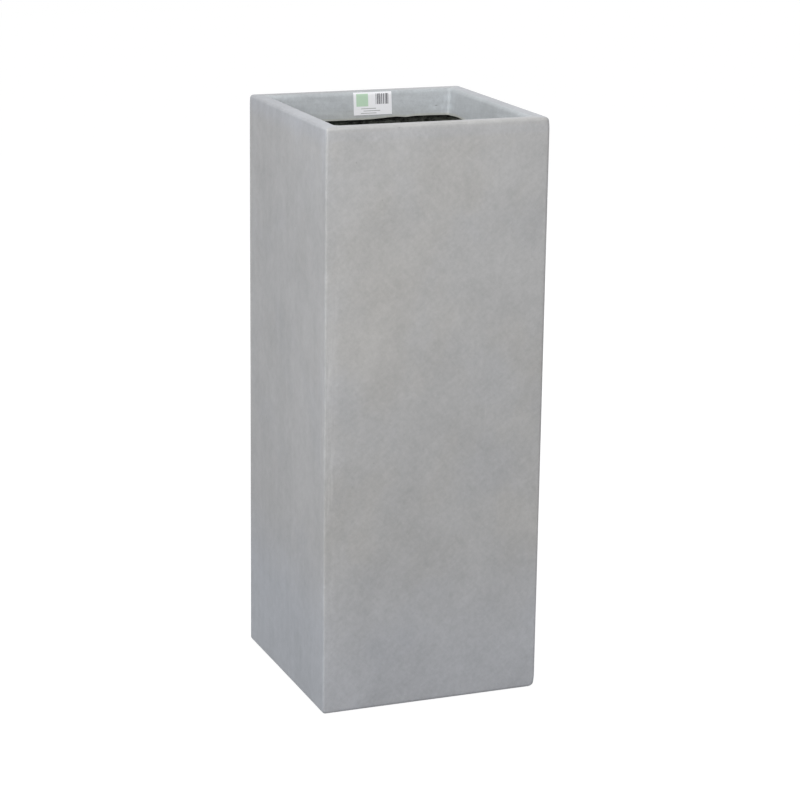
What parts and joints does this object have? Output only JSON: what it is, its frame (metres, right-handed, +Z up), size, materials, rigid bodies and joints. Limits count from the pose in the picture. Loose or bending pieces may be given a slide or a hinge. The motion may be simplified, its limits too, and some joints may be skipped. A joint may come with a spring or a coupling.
{
  "type": "tall square planter",
  "caption": "Tall square fiberglass planter in a concrete-grey finish, with a wide inward rim and collar, a black laminate inside and a rubber drain plug.",
  "frame": {"origin": "centre of the footprint, on the ground", "axes": "+Z up through the open mouth; -Y is the front face, +X its right-hand side"},
  "size_m": [0.315, 0.315, 0.8],
  "materials": {
    "stone_coat": "matte",
    "glass_laminate": "satin",
    "plug_rubber": "matte",
    "label_paper": "matte"
  },
  "bodies": {
    "planter": {"outer_shell": "stone_coat", "rim_collar": "stone_coat", "front_glass_mat": "glass_laminate", "back_glass_mat": "glass_laminate", "left_glass_mat": "glass_laminate", "right_glass_mat": "glass_laminate", "floor_glass_mat": "glass_laminate", "corner_tape_front_left": "glass_laminate", "corner_tape_front_right": "glass_laminate", "corner_tape_back_left": "glass_laminate", "corner_tape_back_right": "glass_laminate", "rim_joint_mat": "glass_laminate", "paper_label": "label_paper"},
    "plug": {"drain_plug": "plug_rubber"}
  },
  "joints": [
    {"name": "plug_lift", "type": "slide", "parent": "planter", "child": "plug", "axis": [0, 0, 1], "range_m": [0, 0.83]}
  ]
}
